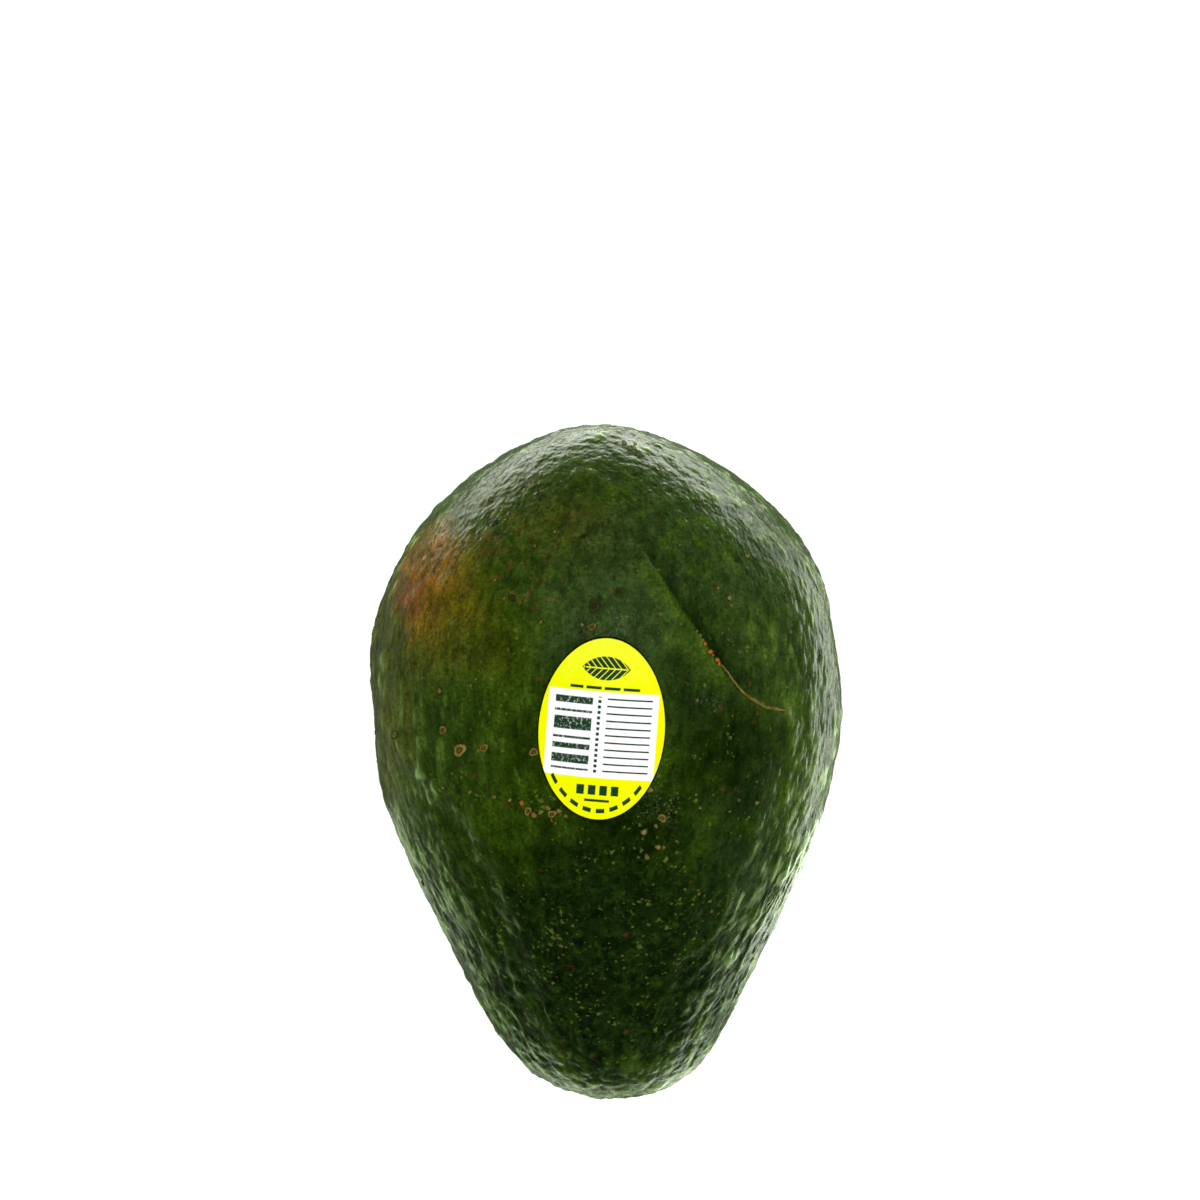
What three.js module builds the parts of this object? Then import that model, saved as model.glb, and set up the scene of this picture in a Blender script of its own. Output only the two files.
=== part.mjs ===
// A whole avocado lying on its side: the pebbled fruit, the clipped stub of its stem, and a thin oval label.
// Millimetres, +Z up. +Y runs from the stem end to the blossom end, and the fruit rests on a small flat spot at z = 0.
import * as THREE from "three";
import { mergeVertices } from "three/addons/utils/BufferGeometryUtils.js";

// The fruit's own size, along and across its core
const fruitLength = 103.3;
const fruitRadius = 34.3;
// Its half width is a sphere's, times fruitRadius and this polynomial: a wide shoulder, then a neck like a cone
const girthShape = [1, 0.278, -0.166, 0.123, 0.316, -0.425, -0.197, -0.021];
const coreBend = [0.08, -0.72, 0.48, 2.15, -0.38, -2.7]; // how far the core swings sideways, as a polynomial
const flattening = 0.965; // height over width: it lies on its flatter side
const fruitDetail = 23; // splits of each edge of the icosahedron that the fruit starts as

// How it lies
const restTilt = THREE.MathUtils.degToRad(12.8); // the neck hangs down until the weight is over the resting spot
const flatSpotDepth = 0.4; // how much the resting spot is pressed in

// The hollow at the stem end, and the stub in it
const hollowCentre = new THREE.Vector2(-0.8, -0.5); // across and up from the core
const hollowDepth = 3.4;
const hollowRadius = 4.4;
const stubRadius = 2.6;
const stubHeight = 2.4;
const stubGap = 0.45;

// The skin's relief, coarser than life
const pebbleSpacing = 4.4;
const pebbleHeight = 0.6;
const neckRelief = 1.25; // share of that height at the stem end
const bellyRelief = 0.6; // and on the broad belly

// The label, laid on the upper side
const labelWidth = 18.7;
const labelLength = 27.4;
const labelThickness = 0.3;
const labelGap = 0.12;
const labelTurn = THREE.MathUtils.degToRad(-4.5);
const labelPlace = new THREE.Vector2(-0.55, 64.9); // across the core, and along it from the stem end
const labelRings = 5;
const labelSides = 48;

// Soft swellings and dents that make the fruit lopsided: middle, reach and height
const swellings = [
  { middle: [-34.5, 19, 38], reach: 6, height: 0.5 },
  { middle: [-34.5, 6.5, 35], reach: 6, height: -0.45 },
  { middle: [-33, -4.5, 32.5], reach: 4.5, height: 0.4 },
  { middle: [33.5, 20, 38], reach: 5.5, height: -0.5 },
  { middle: [32, 28, 40], reach: 5, height: 0.35 },
  { middle: [35, 6, 35], reach: 7, height: 0.3 },
  { middle: [29, -19, 29], reach: 5, height: -0.35 },
  { middle: [-17, 22, 65], reach: 9, height: 0.5 },
  { middle: [14, -22, 57], reach: 8, height: 0.4 },
  { middle: [20, -4, 8], reach: 14, height: -0.8 },
  { middle: [-24, 22, 12], reach: 13, height: -0.9 },
  { middle: [-16, -26, 10], reach: 10, height: 0.6 },
];

// Creases of the upper side, seen from above: the skin stands on one side of each path and dips on the other
const creases = [
  { path: [[27, 7.6], [19.6, 11], [13.7, 19.5], [7, 29.5]], reach: 2.6, dip: 0.5 },
  { path: [[-9.5, -35], [-16, -17], [-21, -7], [-28.3, -1.6], [-34, 4]], reach: 3.4, dip: -0.5 },
  { path: [[12.5, -41], [19.8, -20.5], [24, -10], [24.3, -1]], reach: 3.2, dip: 0.3 },
];

const skin = new THREE.MeshStandardMaterial({ color: 0x24380f, roughness: 0.42, metalness: 0 });
const stemWood = new THREE.MeshStandardMaterial({ color: 0x6a4f2c, roughness: 0.85, metalness: 0 });
const film = new THREE.MeshStandardMaterial({ color: 0xf6ee10, roughness: 0.3, metalness: 0 });

const polynomial = (terms, c) => terms.reduceRight((sum, term) => sum * c + term, 0);

// Half width of the fruit at c, which runs from -1 at the stem end to 1 at the blossom end, before a sphere's round
const girth = (c) => fruitRadius * polynomial(girthShape, c);

// Height of the upper side over the core, at a place across and along it
function upperSide(across, along) {
  const c = (2 * along) / fruitLength - 1;
  const half = girth(c) * Math.sqrt(1 - c * c);
  return flattening * Math.sqrt(half * half - across * across);
}

// From the straight core's frame to the frame in which the fruit lies
function lay(point) {
  point.x += polynomial(coreBend, THREE.MathUtils.clamp((2 * point.y) / fruitLength - 1, -1, 1));
  return point.applyAxisAngle(new THREE.Vector3(1, 0, 0), restTilt);
}

// A point of the smooth fruit for a direction from its middle
function fruitPoint(direction) {
  const c = THREE.MathUtils.clamp(direction.y, -1, 1);
  const across = direction.x * girth(c);
  const up = direction.z * girth(c) * flattening;
  const along = (fruitLength / 2) * (1 + c);
  const fromHollow = Math.hypot(across - hollowCentre.x, up - hollowCentre.y) / hollowRadius;
  const pressed = c < 0 ? hollowDepth * Math.exp(-(fromHollow ** 4)) : 0;
  return lay(new THREE.Vector3(across, along + pressed, up));
}

// Seeded number from 0 to 1 for a cell of space
function scatter(x, y, z, salt) {
  const v = Math.sin(x * 127.1 + y * 311.7 + z * 74.7 + salt * 53.3) * 43758.5453;
  return v - Math.floor(v);
}

// 0 in the furrows between the pebbles, 1 on their tops: how much nearer the nearest seed is than the next one
function pebble(point, spacing) {
  const cell = point.clone().divideScalar(spacing);
  const corner = cell.clone().floor();
  let nearest = Infinity;
  let next = Infinity;
  for (let n = 0; n < 27; n++) {
    const x = corner.x + (n % 3) - 1;
    const y = corner.y + (Math.floor(n / 3) % 3) - 1;
    const z = corner.z + Math.floor(n / 9) - 1;
    const seed = new THREE.Vector3(x + scatter(x, y, z, 1), y + scatter(x, y, z, 2), z + scatter(x, y, z, 3));
    const distance = seed.distanceTo(cell);
    next = Math.min(next, Math.max(distance, nearest));
    nearest = Math.min(nearest, distance);
  }
  return THREE.MathUtils.smoothstep(next - nearest, 0, 0.5);
}

// Distance from a path as seen from above, negative on one side of it
function fromPath(path, x, y) {
  let nearest = Infinity;
  let side = 1;
  for (let i = 0; i + 1 < path.length; i++) {
    const start = new THREE.Vector2(...path[i]);
    const step = new THREE.Vector2(...path[i + 1]).sub(start);
    const offset = new THREE.Vector2(x, y).sub(start);
    const share = THREE.MathUtils.clamp(offset.dot(step) / step.lengthSq(), 0, 1);
    const cross = offset.x * step.y - offset.y * step.x;
    const distance = offset.addScaledVector(step, -share).length();
    if (distance >= nearest) continue;
    nearest = distance;
    side = Math.sign(cross);
  }
  return nearest * side;
}

// Height that the swellings and the creases add to the skin at a point of it
function lopsided(point, normal) {
  let height = 0;
  for (const { middle, reach, height: swell } of swellings) {
    const away = point.distanceTo(new THREE.Vector3(...middle)) / reach;
    height += swell * Math.exp(-away * away);
  }
  const facingUp = THREE.MathUtils.smoothstep(normal.z, 0, 0.35);
  for (const { path, reach, dip } of creases) {
    const away = fromPath(path, point.x, point.y) / reach;
    height -= facingUp * dip * away * Math.exp(0.5 - 2 * away * away);
  }
  return height;
}

// The smooth fruit, from an icosahedron's even triangles, moved to rest at z = 0 around the origin
function smoothFruit() {
  const geometry = new THREE.IcosahedronGeometry(1, fruitDetail);
  geometry.deleteAttribute("normal");
  geometry.deleteAttribute("uv");
  const fruit = mergeVertices(geometry, 1e-4);
  const at = fruit.getAttribute("position");
  for (let i = 0; i < at.count; i++) {
    const direction = new THREE.Vector3().fromBufferAttribute(at, i).normalize();
    at.setXYZ(i, ...fruitPoint(direction));
  }
  fruit.computeBoundingBox();
  const { min, max } = fruit.boundingBox;
  const toFloor = new THREE.Vector3(-(min.x + max.x) / 2, -(min.y + max.y) / 2, -min.z - flatSpotDepth);
  fruit.translate(...toFloor);
  fruit.computeVertexNormals();
  return { fruit, toFloor };
}

// Share of the relief that stands at a point: none under the label, in the hollow or on the floor
function reliefShare(point, labelMiddle, stubFoot) {
  const fromLabel = Math.hypot((point.x - labelMiddle.x) / labelWidth, (point.y - labelMiddle.y) / labelLength);
  const clearOfLabel = point.z < labelMiddle.z / 2 ? 1 : THREE.MathUtils.smoothstep(fromLabel, 0.55, 0.75);
  const clearOfStub = THREE.MathUtils.smoothstep(point.distanceTo(stubFoot), stubRadius, hollowRadius * 1.3);
  return clearOfLabel * clearOfStub * THREE.MathUtils.smoothstep(point.z, 0.3, 2.5);
}

// The fruit with its swellings, creases and pebbles raised along the skin's normals, and its resting spot pressed flat
function makeFruit() {
  const { fruit, toFloor } = smoothFruit();
  const labelMiddle = labelPoint(0, 0, 0).add(toFloor);
  const stubFoot = stubFootPoint(toFloor);
  const at = fruit.getAttribute("position");
  for (let i = 0; i < at.count; i++) {
    const point = new THREE.Vector3().fromBufferAttribute(at, i);
    const normal = new THREE.Vector3().fromBufferAttribute(fruit.getAttribute("normal"), i);
    const towardsBelly = THREE.MathUtils.smoothstep(point.y, -fruitLength / 2, fruitLength / 8);
    const relief = THREE.MathUtils.lerp(neckRelief, bellyRelief, towardsBelly) * pebbleHeight;
    const height = lopsided(point, normal) + (pebble(point, pebbleSpacing) - 0.5) * relief;
    point.addScaledVector(normal, height * reliefShare(point, labelMiddle, stubFoot));
    at.setXYZ(i, point.x, point.y, Math.max(0, point.z));
  }
  fruit.computeVertexNormals();
  return { fruit, toFloor };
}

// A point over the smooth upper side, for a place on the label and a height over the skin
function labelPoint(across, along, height) {
  const turned = new THREE.Vector2(across, along).rotateAround(new THREE.Vector2(), labelTurn).add(labelPlace);
  const spot = (x, y) => new THREE.Vector3(x, y, upperSide(x, y));
  const reach = 0.5;
  const overX = spot(turned.x + reach, turned.y).sub(spot(turned.x - reach, turned.y));
  const overY = spot(turned.x, turned.y + reach).sub(spot(turned.x, turned.y - reach));
  return lay(spot(turned.x, turned.y).addScaledVector(overX.cross(overY).normalize(), height));
}

// The label: a thin disc in rings, stretched to an oval and laid over the skin
function makeLabel(toFloor) {
  const rings = Array.from({ length: labelRings + 1 }, (_, i) => i / labelRings);
  const outline = [
    ...rings.map((radius) => new THREE.Vector2(radius, labelGap)),
    ...rings.toReversed().map((radius) => new THREE.Vector2(radius, labelGap + labelThickness)),
  ];
  const geometry = new THREE.LatheGeometry(outline, labelSides);
  geometry.deleteAttribute("normal");
  geometry.deleteAttribute("uv");
  const label = mergeVertices(geometry, 1e-4);
  const at = label.getAttribute("position");
  for (let i = 0; i < at.count; i++) {
    const place = labelPoint((at.getX(i) * labelWidth) / 2, (-at.getZ(i) * labelLength) / 2, at.getY(i));
    at.setXYZ(i, ...place.add(toFloor));
  }
  label.computeVertexNormals();
  return label;
}

// The middle of the stub's foot, just clear of the hollow's floor
function stubFootPoint(toFloor) {
  return lay(new THREE.Vector3(hollowCentre.x, hollowDepth - stubGap, hollowCentre.y)).add(toFloor);
}

// The stub: a short waisted plug with a cut face
function makeStub() {
  const side = new THREE.SplineCurve([
    new THREE.Vector2(stubRadius * 0.82, 0),
    new THREE.Vector2(stubRadius * 0.9, stubHeight * 0.2),
    new THREE.Vector2(stubRadius * 0.84, stubHeight * 0.5),
    new THREE.Vector2(stubRadius, stubHeight * 0.78),
    new THREE.Vector2(stubRadius * 0.93, stubHeight * 0.95),
    new THREE.Vector2(stubRadius * 0.6, stubHeight),
  ]).getPoints(10);
  return new THREE.LatheGeometry([new THREE.Vector2(0, 0), ...side, new THREE.Vector2(0, stubHeight)], 20);
}

const avocado = new THREE.Group();
const { fruit, toFloor } = makeFruit();

const fruitMesh = new THREE.Mesh(fruit, skin);
fruitMesh.name = "fruit";
avocado.add(fruitMesh);

// The stub's foot is in the hollow, and it points out of the fruit
const stubMesh = new THREE.Mesh(makeStub(), stemWood);
stubMesh.name = "stem_button";
stubMesh.position.copy(stubFootPoint(toFloor));
stubMesh.rotation.x = restTilt + Math.PI;
avocado.add(stubMesh);

const labelMesh = new THREE.Mesh(makeLabel(toFloor), film);
labelMesh.name = "label";
avocado.add(labelMesh);

// The relief moved the outside a little, so the whole is centred over the origin again
const outside = new THREE.Box3().setFromObject(avocado, true).getCenter(new THREE.Vector3());
avocado.position.set(-outside.x, -outside.y, 0);

export default avocado;
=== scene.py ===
import math
import random

import bmesh
import bpy
import numpy as np
from mathutils import Matrix, Vector
from mathutils.bvhtree import BVHTree


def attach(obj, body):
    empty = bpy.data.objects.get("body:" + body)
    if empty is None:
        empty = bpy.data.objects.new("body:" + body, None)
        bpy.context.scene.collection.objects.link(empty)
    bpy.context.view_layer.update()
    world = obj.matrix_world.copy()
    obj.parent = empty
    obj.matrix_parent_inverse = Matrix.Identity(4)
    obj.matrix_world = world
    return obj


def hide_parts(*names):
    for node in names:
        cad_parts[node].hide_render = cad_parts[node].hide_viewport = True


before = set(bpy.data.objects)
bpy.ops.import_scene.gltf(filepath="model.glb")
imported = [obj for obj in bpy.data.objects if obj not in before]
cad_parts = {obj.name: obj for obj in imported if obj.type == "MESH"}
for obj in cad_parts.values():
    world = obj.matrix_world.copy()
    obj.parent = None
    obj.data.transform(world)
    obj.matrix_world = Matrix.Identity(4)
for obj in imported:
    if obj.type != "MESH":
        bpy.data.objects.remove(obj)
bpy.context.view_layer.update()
print("frame loaded")

mm = 0.001
perMetre = 1000.0

# The fruit's smooth shape, in millimetres
fruit = {
    "length": 103.3,
    "radius": 34.3,
    "girthShape": [1, 0.278, -0.166, 0.123, 0.316, -0.425, -0.197, -0.021],
    "coreBend": [0.08, -0.72, 0.48, 2.15, -0.38, -2.7],
    "flattening": 0.965,
    "restTilt": math.radians(12.8),
    "flatSpot": 0.4,
    "centring": (-0.127, 0.057, 0),  # brings the finished outline's middle over the origin
    "hollowCentre": (-0.8, -0.5),
    "hollowDepth": 3.4,
    "hollowRadius": 4.4,
    "cuts": 127,
}

# What is raised on it along its normals
relief = {
    "pebbleSpacing": 4.4,
    "pebbleHeight": 0.32,
    "fineSpacing": 1.7,
    "fineHeight": 0.27,
    "tinySpacing": 1.15,
    "tinyHeight": 0.12,
    "neckShare": 0.95,
    "bellyShare": 0.8,
    "calmShare": 0.35,
    # long ridges on the neck's flanks: width, length and height
    "ridge": (2.3, 12.0, 0.36),
    "ridgeEnd": (-5, 22),
    "coreRadius": 24.0,
    "wander": (3.1, 1.6),  # size and reach of the furrows' bends
    "patchSize": 9,  # some patches are rougher than others
    "topRange": 0.45,
    "underLabel": 0.4,
    # where the relief starts beside the label, the stub and the floor, and where the skin faces up
    "labelEdge": (0.5, 0.6),
    "stubEdge": (2.6, 5.7),
    "floorEdge": (0.3, 2.5),
    "upward": (0.45, 0.85),
    # painted highlight and painted shade beside the long crease: its two ends, how far it reaches, and its
    # soft edge
    "fold": {"start": (9, 14), "end": (36, 26), "reach": 2.2, "edge": (0.2, 0.3)},
    # middle, reach, height
    "swellings": [
        ((-34.5, 19, 38), 6, 0.5),
        ((-34.5, 6.5, 35), 6, -0.45),
        ((-33, -4.5, 32.5), 4.5, 0.4),
        ((33.5, 20, 38), 5.5, -0.5),
        ((32, 28, 40), 5, 0.35),
        ((35, 6, 35), 7, 0.3),
        ((29, -19, 29), 5, -0.35),
        ((-17, 22, 65), 9, 0.5),
        ((14, -22, 57), 8, 0.4),
        ((20, -4, 8), 14, -0.8),
        ((-24, 22, 12), 13, -0.9),
        ((-16, -26, 10), 10, 0.6),
    ],
    # path seen from above, reach, dip
    "creases": [
        ([(27, 7.6), (19.6, 11), (13.7, 19.5), (7, 29.5)], 2.6, 0.5),
        ([(-9.5, -35), (-16, -17), (-21, -7), (-28.3, -1.6), (-34, 4)], 3.4, -0.5),
        ([(12.5, -41), (19.8, -20.5), (24, -10), (24.3, -1)], 3.2, 0.3),
        ([(19.6, 11), (13.7, 19.5), (8.5, 27.5)], 1.2, 0.2),
    ],
}

label = {
    "width": 18.7,
    "length": 27.4,
    "turn": math.radians(-4.5),
    "place": (-0.55, 64.9),
    "lift": 0.1,
    "thickness": 0.09,
    "cells": (96, 132),
}

# Where the photograph was taken from, in millimetres, and millimetres a pixel at the fruit's middle height
view = {
    "across": -0.93,
    "along": 24.61,
    "distance": 1200.0,
    "midHeight": 35.0,
    "pixel": 0.15,
    "imageSide": 1200,
}
eye = Vector((view["across"], view["along"], view["midHeight"] + view["distance"])) * mm


def polynomial(terms, c):
    total = np.zeros_like(c)
    for term in reversed(terms):
        total = total * c + term
    return total


def girth(c):
    return fruit["radius"] * polynomial(fruit["girthShape"], c)


def lay(points):
    # from the straight core's frame to the frame in which the fruit lies
    across, along, up = points.T
    across = across + polynomial(fruit["coreBend"], np.clip(2 * along / fruit["length"] - 1, -1, 1))
    cosine, sine = math.cos(fruit["restTilt"]), math.sin(fruit["restTilt"])
    return np.stack([across, along * cosine - up * sine, along * sine + up * cosine], 1)


def smoothSkin(directions):
    c = np.clip(directions[:, 1], -1, 1)
    across = directions[:, 0] * girth(c)
    up = directions[:, 2] * girth(c) * fruit["flattening"]
    hollowAcross, hollowUp = fruit["hollowCentre"]
    fromHollow = np.hypot(across - hollowAcross, up - hollowUp) / fruit["hollowRadius"]
    pressed = np.where(c < 0, fruit["hollowDepth"] * np.exp(-fromHollow**4), 0)
    return lay(np.stack([across, fruit["length"] / 2 * (1 + c) + pressed, up], 1))


def smoothStep(value, low, high):
    # low may be the greater of the two
    t = np.clip((value - low) / (high - low), 0, 1)
    return t * t * (3 - 2 * t)


def scatter(cell, salt):
    # seeded number from 0 to 1 for each cell of space
    v = np.sin(cell[:, 0] * 127.1 + cell[:, 1] * 311.7 + cell[:, 2] * 74.7 + salt * 53.3) * 43758.5453
    return v - np.floor(v)


def bumps(points, spacing, edge=0.9):
    # 0 in the furrows between the pebbles, 1 on their rounded tops
    cell = points / spacing
    corner = np.floor(cell)
    nearest = np.full(len(cell), 9.0)
    following = np.full(len(cell), 9.0)
    for n in range(27):
        place = corner + np.array([n % 3 - 1, n // 3 % 3 - 1, n // 9 - 1])
        seed = place + np.stack([scatter(place, 1), scatter(place, 2), scatter(place, 3)], 1)
        distance = np.linalg.norm(seed - cell, axis=1)
        following = np.minimum(following, np.maximum(distance, nearest))
        nearest = np.minimum(nearest, distance)
    dome = np.clip(1 - nearest * nearest * 1.6, 0, 1)
    return 0.5 * smoothStep(following - nearest, 0, edge) + 0.5 * dome


def drift(points, spacing, salt):
    # smooth noise from 0 to 1
    cell = points / spacing
    corner = np.floor(cell)
    t = cell - corner
    t = t * t * (3 - 2 * t)
    total = np.zeros(len(cell))
    for n in range(8):
        side = np.array([n & 1, n >> 1 & 1, n >> 2 & 1])
        total += scatter(corner + side, salt) * np.prod(np.where(side, t, 1 - t), axis=1)
    return total


def fromPath(path, x, y):
    # distance from a path seen from above, negative on one side of it
    nearest = np.full(len(x), 1e9)
    side = np.ones(len(x))
    for (x0, y0), (x1, y1) in zip(path, path[1:]):
        dx, dy = x1 - x0, y1 - y0
        ox, oy = x - x0, y - y0
        share = np.clip((ox * dx + oy * dy) / (dx * dx + dy * dy), 0, 1)
        distance = np.hypot(ox - share * dx, oy - share * dy)
        closer = distance < nearest
        nearest = np.where(closer, distance, nearest)
        side = np.where(closer, np.sign(ox * dy - oy * dx), side)
    return nearest * side


def lopsided(points, normals):
    height = np.zeros(len(points))
    for middle, reach, swell in relief["swellings"]:
        away = np.linalg.norm(points - np.array(middle), axis=1) / reach
        height += swell * np.exp(-away * away)
    facingUp = smoothStep(normals[:, 2], 0, 0.35)
    for path, reach, dip in relief["creases"]:
        away = fromPath(path, points[:, 0], points[:, 1]) / reach
        height -= facingUp * dip * away * np.exp(0.5 - 2 * away * away)
    return height


def aroundCore(points):
    # the place on a cylinder round the core, whose third axis is the core
    cosine, sine = math.cos(fruit["restTilt"]), math.sin(fruit["restTilt"])
    x, y, z = (points - toFloor).T
    along = y * cosine + z * sine
    up = z * cosine - y * sine
    across = x - polynomial(fruit["coreBend"], np.clip(2 * along / fruit["length"] - 1, -1, 1))
    turn = np.arctan2(up, across)
    return np.stack([relief["coreRadius"] * np.cos(turn), relief["coreRadius"] * np.sin(turn), along], 1)


def ridges(points):
    # long soft folds that run along the neck, from 0 to 1
    width, length, height = relief["ridge"]
    place = aroundCore(points) / np.array([width, width, length])
    wander = (drift(place, 1.7, 52) - 0.5)[:, None] * np.array([0.9, 0.9, 0])
    fold = 1 - np.abs(2 * drift(place + wander, 1, 51) - 1)
    fold = 0.65 * fold + 0.35 * (1 - np.abs(2 * drift(place * 2.1, 1, 53) - 1))
    neck = 1 - smoothStep(points[:, 1], *relief["ridgeEnd"])
    return (fold - 0.6) * height * (0.12 + 0.88 * neck)


def pebbles(points):
    # three sizes of pebble, stretched along the core and stronger on the neck
    neck = 1 - smoothStep(points[:, 1], -fruit["length"] / 2, fruit["length"] / 8)
    share = relief["bellyShare"] + (relief["neckShare"] - relief["bellyShare"]) * neck
    bendSize, bendReach = relief["wander"]
    wander = np.stack([drift(points, bendSize, salt) for salt in (11, 12, 13)], 1) - 0.5
    bent = points + wander * bendReach
    stretched = bent * np.array([1, 0.6, 1])
    coarse = (bumps(points, relief["pebbleSpacing"]) - 0.5) * relief["pebbleHeight"]
    fine = (bumps(stretched, relief["fineSpacing"]) - 0.5) * relief["fineHeight"]
    tiny = (bumps(bent, relief["tinySpacing"]) - 0.5) * relief["tinyHeight"]
    patchy = 0.4 + 1.2 * drift(points, relief["patchSize"], 21)
    return (coarse + fine * patchy + tiny) * share


def labelPoint(across, along):
    turn = label["turn"]
    x = across * math.cos(turn) - along * math.sin(turn) + label["place"][0]
    y = across * math.sin(turn) + along * math.cos(turn) + label["place"][1]
    c = 2 * y / fruit["length"] - 1
    half = girth(c) * np.sqrt(1 - c * c)
    return lay(np.stack([x, y, fruit["flattening"] * np.sqrt(half * half - x * x)], 1))


def skinHeight(points, normals):
    # all the relief at points of the smooth skin, less under the label, none in the hollow or on the floor
    middle = labelPoint(np.zeros(1), np.zeros(1))[0] + toFloor
    foot = stubFoot() + toFloor
    across, along = (points[:, 0] - middle[0]) / label["width"], (points[:, 1] - middle[1]) / label["length"]
    clearOfLabel = smoothStep(np.hypot(across, along), *relief["labelEdge"])
    clearOfLabel = relief["underLabel"] + (1 - relief["underLabel"]) * clearOfLabel
    clearOfLabel = np.where(points[:, 2] < middle[2] / 2, 1, clearOfLabel)
    clearOfStub = smoothStep(np.linalg.norm(points - foot, axis=1), *relief["stubEdge"])
    share = clearOfLabel * clearOfStub * smoothStep(points[:, 2], *relief["floorEdge"])
    calm = 1 - (1 - relief["calmShare"]) * smoothStep(normals[:, 2], *relief["upward"])
    return (lopsided(points, normals) + (pebbles(points) + ridges(points)) * calm) * share


def stubFoot():
    centre = fruit["hollowCentre"]
    return lay(np.array([[centre[0], fruit["hollowDepth"], centre[1]]]))[0]


def readPoints(mesh, name="co"):
    flat = np.zeros(len(mesh.vertices) * 3)
    mesh.vertices.foreach_get(name, flat)
    return flat.reshape(-1, 3)


def writePoints(mesh, points):
    mesh.vertices.foreach_set("co", points.ravel())
    mesh.update()


def writeFinal(mesh, points):
    # centred and in metres
    writePoints(mesh, (points + np.array(fruit["centring"])) * mm)


def writeMask(mesh, name, values):
    mask = mesh.attributes.new(name, "FLOAT", "POINT")
    mask.data.foreach_set("value", np.asarray(values, dtype=np.float32))


def toObject(name, bm, material):
    mesh = bpy.data.meshes.new(name)
    bm.to_mesh(mesh)
    bm.free()
    mesh.polygons.foreach_set("use_smooth", [True] * len(mesh.polygons))
    mesh.materials.append(material)
    made = bpy.data.objects.new(name, mesh)
    bpy.context.scene.collection.objects.link(made)
    return made


def toPiece(name, bm, material, node=None):
    # an object that rides on the part's one body
    piece = toObject(name, bm, material)
    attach(piece, "root")
    if node:
        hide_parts(node)
    return piece


def put(tree, kind, inputs=(), **settings):
    # a node with its settings, and each input a number, a colour or another node's output
    made = tree.nodes.new("ShaderNode" + kind)
    for name, value in settings.items():
        setattr(made, name, value)
    for key, value in inputs.items() if isinstance(inputs, dict) else enumerate(inputs):
        if isinstance(value, bpy.types.NodeSocket):
            tree.links.new(value, made.inputs[key])
        else:
            made.inputs[key].default_value = value
    return made


def calc(tree, operation, *values):
    return put(tree, "Math", values, operation=operation).outputs[0]


def product(tree, first, *others):
    for value in others:
        first = calc(tree, "MULTIPLY", first, value)
    return first


def greatest(tree, first, *others):
    for value in others:
        first = calc(tree, "MAXIMUM", first, value)
    return first


def plus(tree, value, other):
    return calc(tree, "ADD", value, other)


def minus(tree, value, other):
    return calc(tree, "SUBTRACT", value, other)


def vectorCalc(tree, operation, *values, out=0):
    return put(tree, "VectorMath", values, operation=operation).outputs[out]


def fade(tree, value, low, high, start=0.0, end=1.0):
    # from start to end, softly, as value goes from low to high
    made = put(tree, "MapRange", [value, low, high, start, end], interpolation_type="SMOOTHSTEP")
    return made.outputs[0]


def blend(tree, mask, below, above, how="MIX"):
    made = put(tree, "Mix", {0: mask, 6: below, 7: above}, data_type="RGBA", blend_type=how)
    return made.outputs[2]


def cloud(tree, vector, size, detail=2.0, roughness=0.5, distortion=0.0):
    # noise whose features are about size millimetres
    given = {"Vector": vector, "Scale": perMetre / size, "Detail": detail, "Roughness": roughness}
    return put(tree, "TexNoise", {**given, "Distortion": distortion}).outputs[0]


def objectPlace(tree):
    return put(tree, "TexCoord").outputs["Object"]


def stretch(tree, place, share):
    # a pattern that is longer along the fruit, because its length there counts for less
    return put(tree, "Mapping", {"Vector": place, "Scale": (1, share, 1)}).outputs[0]


def maskOf(tree, name):
    return put(tree, "Attribute", attribute_name=name).outputs["Fac"]


def finish(tree, shader, colour, roughness, height, bump):
    # what changes over the surface; bump is the strength and the depth of the fine relief
    tree.links.new(colour, shader.inputs["Base Color"])
    tree.links.new(roughness, shader.inputs["Roughness"])
    raised = put(tree, "Bump", {"Strength": bump[0], "Distance": bump[1], "Height": height})
    tree.links.new(raised.outputs[0], shader.inputs["Normal"])


def newGroup(name, inputs, output):
    # inputs are numbers or vectors by name, and its one output is a number
    group = bpy.data.node_groups.new(name, "ShaderNodeTree")
    for socketName, value in inputs.items():
        kind = "NodeSocketFloat" if isinstance(value, float) else "NodeSocketVector"
        group.interface.new_socket(socketName, in_out="INPUT", socket_type=kind).default_value = value
    group.interface.new_socket(output, in_out="OUTPUT", socket_type="NodeSocketFloat")
    return group, group.nodes.new("NodeGroupInput").outputs, group.nodes.new("NodeGroupOutput").inputs


def useGroup(tree, group, **inputs):
    return put(tree, "Group", inputs, node_tree=group).outputs[0]


# Dots are pushed aside by noise of this detail, by so many metres, and their edges are so ragged
dotBend = {"detail": 1400.0, "reach": 0.0009, "edgeSize": 0.45, "ragged": 1.9}


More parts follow.
